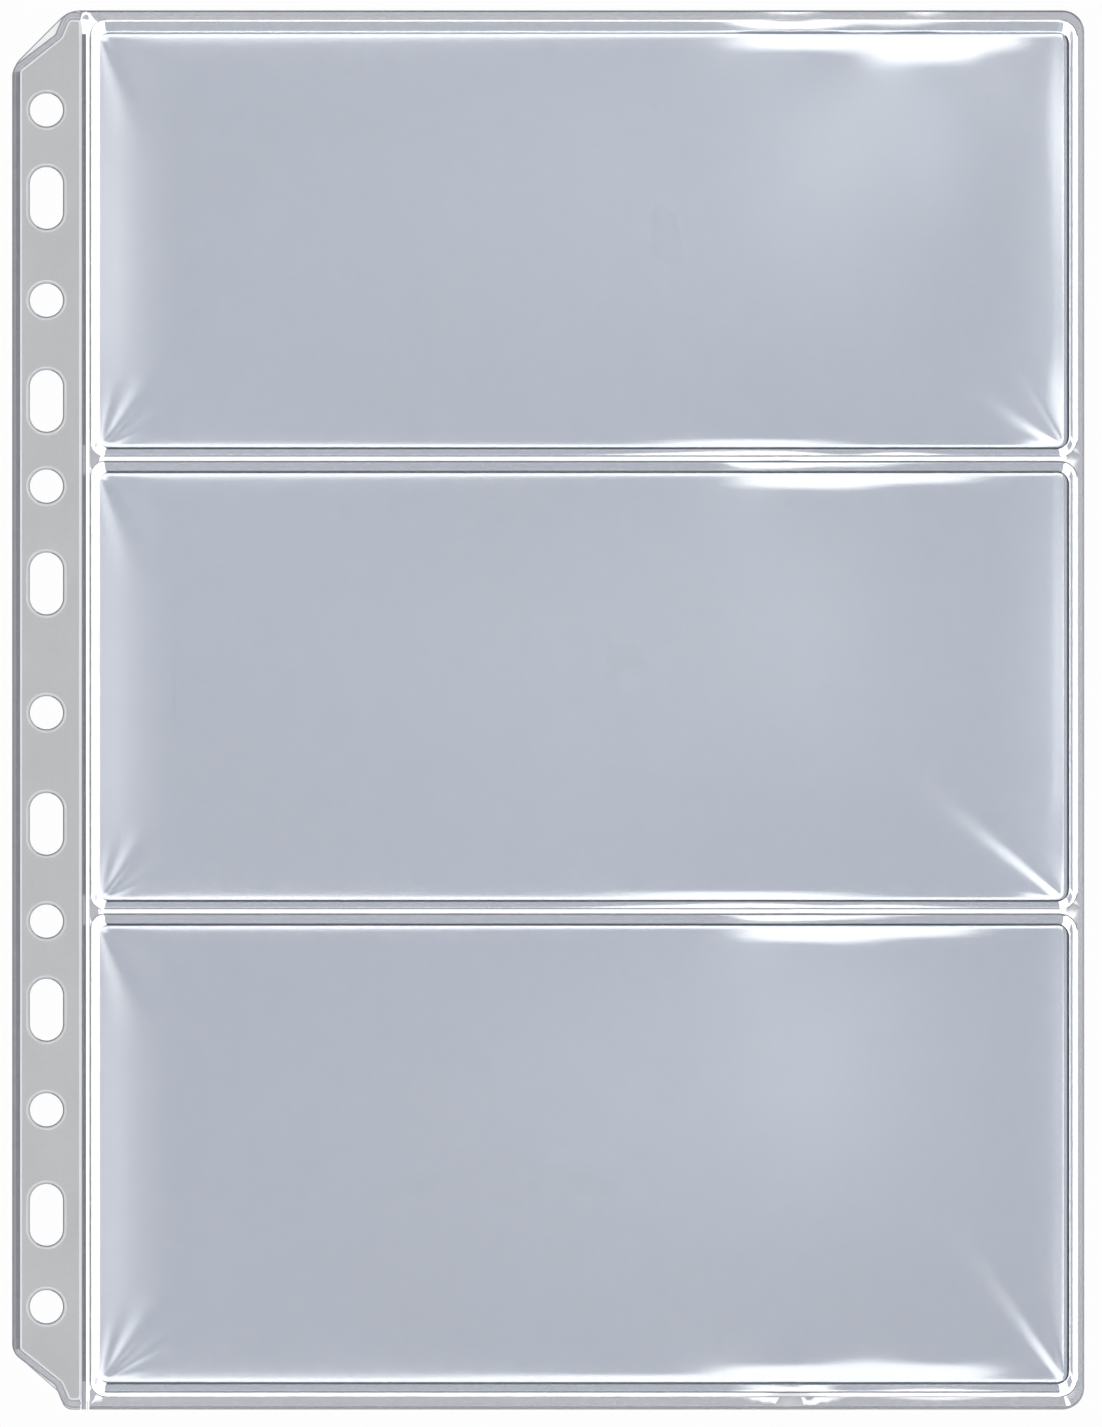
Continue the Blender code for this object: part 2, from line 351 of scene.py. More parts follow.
# front sheet: the flat rim and webs, and the roll pressed round each pocket from its weld line to its crease
seam = {
    "cornerSteps": 12, "longCuts": 110, "shortCuts": 32,
    "weldRadii": {"left": 3.0, "right": 3.5},
    "creaseRadii": {"left": 1.4, "right": 2.0},
    # a roll's rings, as distance in from the weld line and height: two on the fused film, then the side's own
    "fused": ((-0.06, 0.0), (0.0, 0.0)),
    "profiles": {
        "rimTop": (
            (0.06, 0.003), (0.14, 0.008), (0.26, 0.018), (0.34, 0.023), (0.46, 0.026), (1.20, 0.027),
            (1.90, 0.026), (2.00, 0.023), (2.14, 0.012), (2.32, -0.006), (2.40, -0.02)),
        "webTop": (
            (0.10, 0.035), (0.20, 0.075), (0.28, 0.094), (0.36, 0.0995), (0.50, 0.100), (1.10, 0.100),
            (1.72, 0.100), (1.80, 0.099), (1.86, 0.085), (1.94, 0.045), (2.08, -0.02)),
        "webBottom": (
            (0.03, 0.020), (0.07, 0.050), (0.11, 0.075), (0.15, 0.094), (0.22, 0.0995), (0.75, 0.100),
            (1.22, 0.0995), (1.28, 0.097), (1.33, 0.080), (1.40, 0.040), (1.52, -0.02)),
        "rimBottom": (
            (0.10, 0.030), (0.20, 0.045), (0.45, 0.080), (0.76, 0.112), (1.02, 0.130), (1.30, 0.132),
            (2.16, 0.130), (2.24, 0.127), (2.30, 0.100), (2.40, 0.040), (2.54, -0.02)),
        "right": (
            (0.08, 0.006), (0.26, 0.030), (0.56, 0.086), (0.80, 0.126), (0.93, 0.140), (1.06, 0.144),
            (1.30, 0.145), (1.54, 0.143), (1.61, 0.110), (1.69, 0.050), (1.82, -0.02)),
        "left": (
            (0.10, 0.035), (0.20, 0.070), (0.30, 0.090), (0.50, 0.125), (0.70, 0.155), (0.90, 0.183),
            (1.10, 0.208), (1.30, 0.230), (1.50, 0.249), (1.65, 0.262), (1.80, 0.274)),
    },
    "sides": {
        "top": {"top": "rimTop", "left": "left", "bottom": "webBottom", "right": "right"},
        "middle": {"top": "webTop", "left": "left", "bottom": "webBottom", "right": "right"},
        "bottom": {"top": "webTop", "left": "left", "bottom": "rimBottom", "right": "right"},
    },
    # finishes of the bands between rings, where they aren't the roll's own: painted shade in dark lines and
    # creases, painted highlight in white bands: (first, last, finish)
    "zones": {
        "rimTop": ((11, 11, "seamLine"),),
        "webTop": ((1, 3, "seamLine"), (4, 4, "seamShade"), (8, 8, "seamShade"), (9, 11, "creaseFilm")),
        "webBottom": ((1, 5, "seamShade"), (8, 8, "seamShade"), (9, 11, "creaseFilm")),
        "rimBottom": ((1, 1, "seamLine"), (3, 4, "weldFilm"), (5, 5, "seamLine"), (8, 8, "seamShade"),
                      (9, 11, "seamLine")),
        "right": ((9, 11, "creaseFilm"),),
        "left": ((1, 2, "seamLine"),),
    },
    # a roll's corner has a painted white highlight inside a painted dark arc of shade, with a grey pad:
    # (from, to, first band, last band)
    "arcBands": 3,
    "corners": {
        "tr": {"arc": (0.12, 0.9), "white": (0.05, 0.78), "whiteBands": 9, "pad": (0.12, 0.34, 4, 7)},
        "br": {"arc": (0.12, 0.9), "white": (0.1, 0.97), "whiteBands": 9, "pad": (0.54, 0.80, 4, 8)},
        "tl": {"arc": (0.0, 1.0), "white": (0.08, 0.98), "whiteBands": 12, "pad": (0.80, 0.98, 3, 6)},
        "bl": {"arc": (0.0, 1.0), "white": (0.02, 0.92), "whiteBands": 12, "pad": (0.02, 0.36, 5, 9)},
    },
    "plateauEnd": 9,  # last ring before the roll drops to its crease
    "dropShare": (1.0, 0.5, 0.2, 0.0),  # how much of a tilt is left from there on
    "tiltStart": 1.15,  # a tilt is this steep at the weld line and eases across the roll
    # where a roll tips outward along its length: (x, half length, slope)
    "tilts": {
        "top": {"top": ((44, 8, 0.30), (64, 8, 0.07)),
                "bottom": ((24, 12, 0.09), (38, 9, 0.30), (64, 6, 0.12))},
        "middle": {"top": ((40, 6, 0.25), (55, 12, 0.10)),
                   "bottom": ((22, 12, 0.09), (37, 9, 0.30), (60, 10, 0.12))},
        "bottom": {"top": ((42, 7, 0.25), (55, 12, 0.10)),
                   "bottom": ((44, 6, 0.40), (70, 10, 0.15))},
    },
    # where the outer rim leans: (x, half length, height)
    "rimLean": {"top": ((44, 6, 0.10), (68.5, 4.5, 0.09)), "bottom": ((44, 6, 0.08), (70, 9, 0.07))},
    "start": 1.0,  # the front film's left edge, right of the flex line
    "rimInset": 0.3, "lowInset": 0.6, "rimShare": 0.3,
    "darkEdge": 0.6,  # the top edge has the darker painted edge shade down to this share of the corner's radius
    "webs": (45.7, -36.6), "webHalf": 0.42, "webEnds": 2.0,
    "topEnd": (122.6, 125.6),  # painted highlight on the rim at the groove's top end
    "cornerGlint": (60, 76),  # angles of the glint on the low corner
}
profiles = {kind: seam["fused"] + rings for kind, rings in seam["profiles"].items()}
ringCount = len(profiles["left"])


def humpSum(humps, x):
    return sum(height * math.exp(-(((x - place) / half) ** 2)) for place, half, height in humps)


def rollTilt(name, side, ring, x):
    # extra height of a roll's ring at x
    profile = profiles[seam["sides"][name][side]]
    end = seam["plateauEnd"]
    across, width = max(profile[min(ring, end)][0], 0.0), profile[end][0]
    extra = humpSum(seam["tilts"][name][side], x)
    extra *= seam["tiltStart"] * across - across**2 / (2 * width)
    if name == side:  # the side on the page's own rim
        extra += humpSum(seam["rimLean"][side], x)
    return extra * seam["dropShare"][max(0, ring - end)]


def seamBox(name, ring=ringCount - 1):
    # left, right, low and high of one ring
    inset = {side: profiles[kind][ring][0] for side, kind in seam["sides"][name].items()}
    return (page["weldLeft"] + inset["left"], page["weldRight"] - inset["right"],
            pockets[name]["low"] + inset["bottom"], pockets[name]["high"] - inset["top"])


def seamRing(name, ring):
    # points (x, y, rise), and for the face after each point its side, corner and share of the corner
    left, right, low, high = seamBox(name, ring)
    rise = {side: profiles[kind][ring][1] for side, kind in seam["sides"][name].items()}
    share = ring / (ringCount - 1)
    leftRadius, rightRadius = (seam["weldRadii"][s] + (seam["creaseRadii"][s] - seam["weldRadii"][s]) * share
                               for s in ("left", "right"))
    places = (  # arc centre, radius, start angle, side before, side after, corner
        (right - rightRadius, high - rightRadius, rightRadius, 0, "right", "top", "tr"),
        (left + leftRadius, high - leftRadius, leftRadius, 90, "top", "left", "tl"),
        (left + leftRadius, low + leftRadius, leftRadius, 180, "left", "bottom", "bl"),
        (right - rightRadius, low + rightRadius, rightRadius, 270, "bottom", "right", "br"),
    )
    points, spots = [], []
    for i, (centreX, centreY, radius, start, before, after, corner) in enumerate(places):
        for step in range(seam["cornerSteps"] + 1):
            t = step / seam["cornerSteps"]
            angle = math.radians(start + 90 * t)
            height = rise[before] * (1 - t) + rise[after] * t
            points.append((centreX + radius * math.cos(angle), centreY + radius * math.sin(angle), height))
            middle = t + 0.5 / seam["cornerSteps"]
            spots.append((before if middle < 0.5 else after, corner if middle < 1 else None, middle))
        nextX, nextY, nextRadius, nextStart = places[(i + 1) % 4][:4]
        turn = math.radians(nextStart)
        end = (nextX + nextRadius * math.cos(turn), nextY + nextRadius * math.sin(turn))
        begin = points[-1]
        cuts = seam["longCuts"] if after in ("top", "bottom") else seam["shortCuts"]
        for step in range(1, cuts):
            x, y = (begin[axis] + (end[axis] - begin[axis]) * step / cuts for axis in (0, 1))
            extra = rollTilt(name, after, ring, x) if after in ("top", "bottom") else 0.0
            points.append((x, y, rise[after] + extra))
            spots.append((after, None, 0.0))
    return points, spots


def seamZone(name, band, spot):
    # finish of one face of a roll, with painted highlight and painted shade at its corners and seams
    side, corner, t = spot
    if band == 0:
        return "rimFilm"
    if corner is not None:
        look = seam["corners"][corner]
        if band < seam["arcBands"] and look["arc"][0] < t < look["arc"][1]:
            return "seamLine"
        if seam["arcBands"] <= band < look["whiteBands"]:
            start, end, first, last = look["pad"]
            if start < t < end and first <= band <= last:
                return "rollFilm"
            if look["white"][0] < t < look["white"][1]:
                return "weldFilm"
    for first, last, finish in seam["zones"][seam["sides"][name][side]]:
        if first <= band <= last:
            return finish
    return "rollFilm"


def rimZone(x, y):
    # webs and a few spots get a painted highlight, the rest is plain
    onWeb = any(abs(y - web) < seam["webHalf"] for web in seam["webs"])
    if onWeb and page["weldLeft"] + seam["webEnds"] < x < page["weldRight"] - seam["webEnds"]:
        return "weldFilm"
    if x < page["weldLeft"] + seam["webEnds"] and seam["topEnd"][0] < y < seam["topEnd"][1]:
        return "weldFilm"
    fromX, fromY = x - (page["right"] - page["cornerRadius"]), -y - (page["top"] - page["cornerRadius"])
    low, high = seam["cornerGlint"]
    glint = fromX > 0 and low < math.degrees(math.atan2(fromY, fromX)) < high
    return "weldFilm" if glint else "rimFilm"


def makeFrontSheet():
    verts, faces, zones = [], [], []
    level, corner = page["frontLevel"], page["cornerRadius"]
    front = page["flex"] + seam["start"]

    def outline(inset, low):
        return roundedOutline((
            (page["right"] - inset, page["top"] - inset, corner - inset), (front, page["top"] - inset, 0),
            (front, page["bottom"] + low, 0), (page["right"] - inset, page["bottom"] + low, corner - low),
        ), page["cornerSteps"])

    guide = outline(0.0, 0.0)
    edge = divided(guide, guide, page["rowGap"])
    rim = divided(outline(seam["rimInset"], seam["lowInset"]), guide, page["rowGap"])
    leans = [humpSum(seam["rimLean"]["top" if y > 0 else "bottom"], x) for x, y in rim]
    edgeRing = addRing(verts, edge, level)
    rimRing = addRing(verts, [(x, y, seam["rimShare"] * lean) for (x, y), lean in zip(rim, leans)], level)

    def edgeZone(i, j):
        if max(abs(edge[k][0] - front) for k in (i, j)) <= sheeting["touch"]:
            return None  # the flex groove's film carries on here
        # a dark painted line of shade along the cut edge, darker along the top
        return "cutEdge" if edge[i][1] > page["top"] - seam["darkEdge"] * corner else "edgeShade"

    ringBand(faces, zones, edgeRing, rimRing, edgeZone)
    flatRings = [rimRing]
    for name in pockets:
        rings = []
        for ring in range(ringCount):
            points, spots = seamRing(name, ring)
            rings.append(addRing(verts, points, level))
        flatRings.append(rings[0])
        for band, (outer, inner) in enumerate(zip(rings, rings[1:])):
            ringBand(faces, zones, outer, inner, lambda i, j: seamZone(name, band, spots[i]))
    fillRings(verts, faces, zones, flatRings, rimZone)
    obj = formedSheet("frontSheet", verts, faces, zones, page["film"])
    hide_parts("front_sheet")
    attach(obj, "panel")
    return obj


frontSheet = makeFrontSheet()
print("front sheet:", len(frontSheet.data.polygons), "faces")

# back sheet: a plane with two rounded corners
backing = {"start": -84.15, "edge": 0.3}


def makeBackSheet():
    width, height = page["right"] - backing["start"], page["top"] - page["bottom"]
    bpy.ops.mesh.primitive_plane_add(size=1.0, location=(mm * (page["right"] + backing["start"]) / 2, 0, 0))
    obj = bpy.context.object
    obj.name = obj.data.name = "backSheet"
    obj.scale = (width * mm, height * mm, 1)
    bpy.ops.object.transform_apply(location=True, rotation=True, scale=True)
    bpy.ops.object.mode_set(mode="EDIT")
    bpy.ops.mesh.select_mode(type="VERT")
    bpy.ops.mesh.select_all(action="DESELECT")
    bm = bmesh.from_edit_mesh(obj.data)
    for vertex in bm.verts:
        vertex.select_set(vertex.co.x > 0)
    bm.select_flush_mode()
    bmesh.update_edit_mesh(obj.data)
    bpy.ops.mesh.bevel(offset=page["cornerRadius"] * mm, segments=page["cornerSteps"], affect="VERTICES")
    bpy.ops.mesh.select_all(action="SELECT")
    bpy.ops.mesh.inset(thickness=backing["edge"] * mm)
    bpy.ops.object.mode_set(mode="OBJECT")
    paint(obj, ["backFilm"] * len(obj.data.polygons))
    thicken(obj, page["film"])
    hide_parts("back_sheet")
    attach(obj, "panel")
    return obj


backSheet = makeBackSheet()
print("back sheet:", len(backSheet.data.polygons), "faces")

# pocket films: a fine grid pulled up from its creases, with the waves and wrinkles that welding leaves
pillow = {
    "columns": 240, "rows": 124, "firstColumn": 0.12, "firstRow": 0.08, "darkRows": 2,
    "sink": 0.02,  # the crease lies this far under the flat front film
    "shoulder": 0.20,  # height gained close to the crease
    "reach": {"right": 0.22, "top": 0.15, "bottom": 0.14},
    "tail": 0.05, "tailReach": 1.1,  # the slower part of the rise
    "leftLift": 0.274, "leftFade": 20.0,  # the film leaves the left roll at this height
    "crown": 0.0425, "crownSpan": (3.2, 15.5), "crownPower": 2.5,  # slope at the left, and where it eases
    "crownEnds": 10.0, "crownLoss": 0.85, "crownLossSpan": (0.1, 1.0),  # lower at the ends and at the right
    "crownSag": {"top": 0.08, "middle": 0.25, "bottom": 0.25},  # share lost halfway up the pocket
    # lower beside the right crease, less so toward the foot
    "rightDip": {"top": 0.10, "middle": 0.107, "bottom": 0.08}, "rightDipReach": 2.7,
    "dipFoot": {"top": (1.0, 14.0), "middle": (3.0, 22.0), "bottom": (3.0, 28.0)},
    # where the film stands up from its mouth or its foot: (x, half length, height, reach)
    "mouthWaves": {
        "top": ((46.8, 8.5, 0.25, 2.2), (69.5, 5.0, 0.40, 3.6), (80.0, 5.0, 0.18, 2.4)),
        "middle": ((46.0, 8.0, 0.24, 2.1), (66.0, 10.0, 0.13, 1.6)),
        "bottom": ((45.8, 8.0, 0.26, 2.2), (66.0, 10.0, 0.15, 1.8)),
    },
    "footWaves": {
        "top": ((37.0, 12.0, 0.10, 1.2),),
        "middle": ((35.0, 16.0, 0.10, 1.2),),
        "bottom": ((44.0, 9.0, 0.26, 2.3), (70.0, 8.0, 0.26, 2.5), (20.0, 26.0, 0.06, 1.0)),
    },
    "waveFade": 25.0, "waveSpread": 7.0,  # a wave dies out and widens as it runs in from the edge
    # wrinkles from a corner: (corner, angle, length, width, widening, height)
    "wrinkles": {
        "top": (
            ("bl", 77, 15, 0.34, 0.055, 0.04), ("bl", 54, 20, 0.36, 0.065, 0.07),
            ("bl", 27, 16, 0.34, 0.055, 0.035), ("tl", -70, 26, 0.45, 0.10, 0.055),
            ("br", 143.5, 27, 0.42, 0.10, 0.17), ("br", 118, 24, 0.34, 0.07, 0.10),
            ("br", 164, 14, 0.40, 0.06, 0.07)),
        "middle": (
            ("bl", 78, 14, 0.34, 0.055, 0.035), ("bl", 57, 19, 0.36, 0.065, 0.065),
            ("bl", 28, 15, 0.34, 0.05, 0.03), ("tl", -70, 24, 0.45, 0.10, 0.050),
            ("br", 136.5, 52, 0.42, 0.075, 0.19), ("br", 164, 15, 0.40, 0.06, 0.07)),
        "bottom": (
            ("bl", 76, 16, 0.34, 0.055, 0.045), ("bl", 55, 23, 0.36, 0.065, 0.075),
            ("bl", 34, 20, 0.34, 0.055, 0.055), ("bl", 18, 12, 0.32, 0.05, 0.03),
            ("tl", -68, 26, 0.45, 0.10, 0.055), ("br", 121.6, 56, 0.42, 0.075, 0.14),
            ("br", 104, 26, 0.40, 0.045, 0.05)),
    },
    "farSide": {"bl": 1.0, "tl": 1.0, "br": 3.5},  # how much wider a wrinkle is on its far side
    "wrinkleStart": (0.3, 2.0), "wrinkleEnd": (0.25, 1.0),  # distance from the corner, share of the length
    # a slow swell of the film: (x, y, size, height)
    "swell": {"top": (67.0, 104.0, 22.0, 0.34), "middle": (64.0, 8.0, 22.0, 0.24),
              "bottom": (62.0, -66.0, 22.0, 0.28)},
    # painted glow in the film's colour, where the soft boxes would reflect: (x, y, half width, half height,
    # strength) over a base
    "glowBase": {"top": 0.16, "middle": 0.14, "bottom": 0.0},
    "hazeAndGlow": {
        "top": ((20, 95, 60, 35, 0.42), (52, 100, 18, 28, 0.42), (69, 107, 9, 15, 0.8), (95, 78, 8, 42, 1.0)),
        "middle": ((25, 12, 60, 32, 0.44), (45, 22, 16, 22, 0.25), (95, 8, 8, 42, 0.95)),
        "bottom": ((25, -70, 55, 34, 0.48), (52, -58, 20, 28, 0.48), (95, -62, 5, 42, 0.55)),
    },
    "creaseStart": 4,  # columns at the left without the dark painted crease shade
    "rimCrease": {"top": "edgeFilm", "bottom": "seamLine"},
    "edgeColumns": 4,  # paler film beside the right crease, a painted glow
    "openPower": 1.2,  # how the open mouth bows between its two ends
}


def waveSum(waves, x, inward):
    total = np.zeros_like(x)
    for place, half, height, reach in waves:
        along = np.exp(-(((x - place) / (half * (1 + inward / pillow["waveSpread"]))) ** 2))
        fade = np.exp(-inward / pillow["waveFade"])
        total += height * along * (1 - np.exp(-((inward / reach) ** 2))) * fade
    return total


def filmHeight(name, x, y, box):
    left, right, low, high = box
    # distances from the left, right, low and high creases
    a, b, c, d = (np.maximum(v, 0.0) for v in (x - left, right - x, y - low, high - y))
    edge = 1.0
    for side, inward in (("right", b), ("bottom", c), ("top", d)):
        edge = edge * (1 - np.exp(-inward / pillow["reach"][side]))
    ends = (1 - np.exp(-c / pillow["crownEnds"])) * (1 - np.exp(-d / pillow["crownEnds"]))
    along = 1 - pillow["crownLoss"] * smoothStep(*pillow["crownLossSpan"], a / (right - left))
    start, stop = pillow["crownSpan"]
    power = pillow["crownPower"]
    t = np.clip((a - start) / (stop - start), 0, 1)
    slope = np.minimum(a, start) + (stop - start) * (1 - (1 - t) ** power) / power
    crown = pillow["crown"] * slope * ends * along
    crown *= 1 - pillow["crownSag"][name] * 4 * c * d / (high - low) ** 2
    dip = pillow["rightDip"][name] * np.exp(-((b / pillow["rightDipReach"]) ** 2))
    dip *= smoothStep(*pillow["dipFoot"][name], c)
    dip += pillow["tail"] * (np.exp(-c / pillow["tailReach"]) + np.exp(-d / pillow["tailReach"]))
    shoulder, sink = pillow["shoulder"], pillow["sink"]
    lift = shoulder + (pillow["leftLift"] + sink - shoulder) * np.exp(-a / pillow["leftFade"])
    rise = lift + crown - dip
    rise = rise + waveSum(pillow["mouthWaves"][name], x, d) + waveSum(pillow["footWaves"][name], x, c)
    swellX, swellY, size, height = pillow["swell"][name]
    rise += height * np.exp(-((x - swellX) ** 2 + (y - swellY) ** 2) / size**2)
    corners = {"bl": (left, low), "tl": (left, high), "br": (right, low)}
    for corner, angle, length, width, widening, height in pillow["wrinkles"][name]:
        fromX, fromY = x - corners[corner][0], y - corners[corner][1]
        cos, sin = math.cos(math.radians(angle)), math.sin(math.radians(angle))
        along, aside = fromX * cos + fromY * sin, fromY * cos - fromX * sin
        spread = width + widening * np.maximum(along, 0)
        spread = spread * np.where(aside < 0, pillow["farSide"][corner], 1)
        fade = smoothStep(*pillow["wrinkleStart"], along)
        fade = fade * (1 - smoothStep(*pillow["wrinkleEnd"], along / length))
        rise += height * fade * np.exp(-0.5 * (aside / spread) ** 2)
    return edge * rise - sink


def roundCorners(x, y, box):
    # draws the grid's square corners onto the crease's round ones
    left, right, low, high = box
    for side, cornerX in (("left", left), ("right", right)):
        for cornerY in (low, high):
            radius = seam["creaseRadii"][side]
            inX = math.copysign(1, left + right - 2 * cornerX)
            inY = math.copysign(1, low + high - 2 * cornerY)
            p, q = 1 - (x - cornerX) * inX / radius, 1 - (y - cornerY) * inY / radius
            near = (p > 0) & (q > 0)
            p, q = np.clip(p, 0, 1), np.clip(q, 0, 1)
            x = np.where(near, cornerX + inX * radius * (1 - p * np.sqrt(1 - q * q / 2)), x)
            y = np.where(near, cornerY + inY * radius * (1 - q * np.sqrt(1 - p * p / 2)), y)
    return x, y


def makePocketFilm(name):
    box = left, right, low, high = seamBox(name)
    xs = left + stations(pillow["columns"], right - left, pillow["firstColumn"])
    ys = low + stations(pillow["rows"], high - low, pillow["firstRow"])
    obj, column, row, faceColumn, faceRow = gridSheet(f"pocketFilm_{name}", xs, ys)
    x, y = xs[column], ys[row]
    z = filmHeight(name, x, y, box) + page["frontLevel"]
    moveVertices(obj, *roundCorners(x, y, box), z)
    dark = pillow["darkRows"]
    lastRow, lastColumn = len(ys) - 2, len(xs) - 2
    inCrease = (faceRow < dark) | (faceRow > lastRow - dark) | (faceColumn > lastColumn - dark)
    # painted glow in paler film beside the right crease, painted shade in the creases
    zones = np.where(faceColumn > lastColumn - dark - pillow["edgeColumns"], "edgeFilm", "pocketFilm")
    crease = np.full(len(zones), "creaseFilm")
    if name in ("top", "bottom"):  # the painted crease shade is softer on the page's own rim
        onRim = faceRow > lastRow - dark if name == "top" else faceRow < dark
        crease = np.where(onRim, pillow["rimCrease"][name], crease)
    paint(obj, np.where(inCrease & (faceColumn > pillow["creaseStart"]), crease, zones).tolist())
    thicken(obj, page["film"])
    spots = np.array([vertex.co for vertex in obj.data.vertices]) / mm
    # painted glow, kept as an attribute on the vertices
    hazeAndGlow = np.full(len(spots), pillow["glowBase"][name])
    for hazeX, hazeY, halfX, halfY, strength in pillow["hazeAndGlow"][name]:
        away = ((spots[:, 0] - hazeX) / halfX) ** 2 + ((spots[:, 1] - hazeY) / halfY) ** 2
        hazeAndGlow += strength * np.exp(-away)
    obj.data.attributes.new("hazeAndGlow", "FLOAT", "POINT").data.foreach_set("value", hazeAndGlow.astype(np.float32))
    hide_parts(f"pocket_film_{name}")
    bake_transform(obj)
    return obj


for name in pockets:
    film = makePocketFilm(name)
    print("pocket film:", name, len(film.data.polygons), "faces")

# binding margin: fused film with ring holes, a bead pressed along its edge, and the satin strip
margin = {
    "right": -85.05, "tip": -87.05, "foot": -88.40, "left": -95.95,
    "top": 125.4, "bottom": -125.4, "stepDrop": 3.2, "cornerDrop": 9.2,
    "tipRadius": 0.9, "footRadius": 2.2, "steps": 10,
    "holeX": -91.25, "holeSize": 6.0, "slotLength": 11.2, "holeFacets": 48, "lip": 0.26,
    "roundHoles": (109.1, 74.5, 40.7, -0.5, -38.4, -72.7, -108.5),
    "slotHoles": (93.1, 56.2, 23.0, -20.7, -54.5, -91.8),
    "litLip": (75, 235),  # angles between which a hole's lip is painted lit, the rest of the lip painted shade
    "film": 0.2, "edge": 0.15,
    # the film's corners: x from, distance, share of an inset; the same for y; radius, share of an inset
    "filmCorners": (
        ("flex", -0.3, -1.0, "bottom", 0.0, 1.0, 0.0, 0.0),
        ("flex", -0.3, -1.0, "top", 0.0, -1.0, 0.0, 0.0),
        ("flex", -2.8, 0.6, "top", 0.0, -1.0, 5.2, -1.0),
        ("left", 0.0, 1.0, "top", -10.2, -0.6, 5.2, -1.0),
        ("left", 0.0, 1.0, "bottom", 10.6, 0.3, 3.0, -0.6),
        ("flex", -4.5, 0.6, "bottom", 3.1, 0.6, 1.3, 0.6),
        ("flex", -3.5, 0.6, "bottom", 0.0, 1.0, 1.9, -0.6),
    ),
    # how far parts of the strip's outline move when it grows
    "grow": {"tip": 0.6, "foot": 0.85, "step": 0.62, "drop": 0.55, "side": 1.6},
    "innerShare": 0.5, "leastFoot": 0.4,
}


def stripOutline(grow):
    # the strip's outline, moved out by grow, with a curved step at each end
    move = {part: grow * share for part, share in margin["grow"].items()}
    right, left = margin["right"] + min(grow, 0), margin["left"] - grow
    tip, foot = margin["tip"] - move["tip"], margin["foot"] - move["foot"]
    top, bottom = margin["top"] + grow, margin["bottom"] - grow
    step, drop = margin["stepDrop"] + move["step"], margin["cornerDrop"] + move["drop"]
    tipRadius, footRadius = margin["tipRadius"] + grow, max(margin["leastFoot"], margin["footRadius"] - grow)
    side = margin["tipRadius"] + move["side"]
    inner = margin["tipRadius"] * margin["innerShare"]
    return roundedOutline((
        (right, bottom, inner), (right, top, inner),
        (tip, top, tipRadius), (foot, top - step, footRadius), (left, top - drop, side),
        (left, bottom + drop, side), (foot, bottom + step, footRadius), (tip, bottom, tipRadius),
    ), margin["steps"])


def holeOutlines(grow):
    # thirteen holes, round ones first, moved out by grow
    size, outlines = margin["holeSize"] + 2 * grow, []
    spans = [(y, 0.0) for y in margin["roundHoles"]]
    spans += [(y, (margin["slotLength"] - margin["holeSize"]) / 2) for y in margin["slotHoles"]]
    for y, straight in spans:
        ring = []
        for step in range(margin["holeFacets"]):
            angle = (step + 0.5) * 2 * math.pi / margin["holeFacets"]
            middle = y + math.copysign(straight, math.sin(angle))
            ring.append((margin["holeX"] + size / 2 * math.cos(angle), middle + size / 2 * math.sin(angle)))
        outlines.append(ring)
    return outlines


def makeMarginFilm():
    verts, faces, zones = [], [], []
    litFrom, litTo = margin["litLip"]

    def outline(inset):
        return roundedOutline([
            (page[sideX] + x + shareX * inset, page[sideY] + y + shareY * inset, radius + share * inset)
            for sideX, x, shareX, sideY, y, shareY, radius, share in margin["filmCorners"]
        ], margin["steps"])

    # each hole's lip is painted lit on its left and painted shade on its right
    def lipZone(i, _):
        angle = (i + 1) * 360 / margin["holeFacets"]  # round the hole from its right
        return "lipPale" if litFrom <= angle <= litTo else "lipDark"

    edge, flat = addRing(verts, outline(0.0), 0.0), addRing(verts, outline(margin["edge"]), 0.0)
    # painted shade: a dark line along the film's cut edge
    ringBand(faces, zones, edge, flat, "cutEdge")
    lips = []
    for lip, hole in zip(holeOutlines(margin["lip"]), holeOutlines(0.0)):
        lips.append(addRing(verts, lip, 0.0))
        ringBand(faces, zones, lips[-1], addRing(verts, hole, 0.0), lipZone)
    fillRings(verts, faces, zones, [flat, *lips], "marginFilm")
    obj = formedSheet("marginFilm", verts, faces, zones, margin["film"])
    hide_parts("margin_film")
    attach(obj, "binding")
    return obj


bead = {
    "inner": 0.06, "outer": 1.45,  # how far out from the strip
    # share of the way in, and height over the margin film
    "profile": ((0.0, 0.0), (0.12, 0.10), (0.28, 0.17), (0.45, 0.20), (0.62, 0.18), (0.80, 0.11), (1.0, 0.0)),
    "darkFrom": 0.4, "wall": 0.15,
    "openSide": (0.05, 20),  # no bead on long edges this near to the strip's right
}


def makeRimBead():
    verts, faces, zones = [], [], []
    outer, inner = stripOutline(bead["outer"]), stripOutline(bead["inner"])
    near, longest = bead["openSide"]
    rings = []
    for share, height in bead["profile"]:
        ring = [(o[0] + (i[0] - o[0]) * share, o[1] + (i[1] - o[1]) * share) for o, i in zip(outer, inner)]
        rings.append(addRing(verts, ring, margin["film"] + height))

    def beadZone(share, first, second):
        if min(first[0], second[0]) > margin["right"] - near and abs(first[1] - second[1]) > longest:
            return None
        # painted sheen near the ends, painted light on the outer slope and painted shade on the inner slope
        if abs(first[1]) > margin["top"] - margin["cornerDrop"]:
            return "beadPale"
        return "beadInner" if share >= bead["darkFrom"] else "beadOuter"

    for (share, _), ring, nextRing in zip(bead["profile"], rings, rings[1:]):
        ringBand(faces, zones, ring, nextRing, lambda i, j: beadZone(share, verts[ring[i]], verts[ring[j]]))
    obj = formedSheet("rimBead", verts, faces, zones, bead["wall"])
    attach(obj, "binding")
    return obj


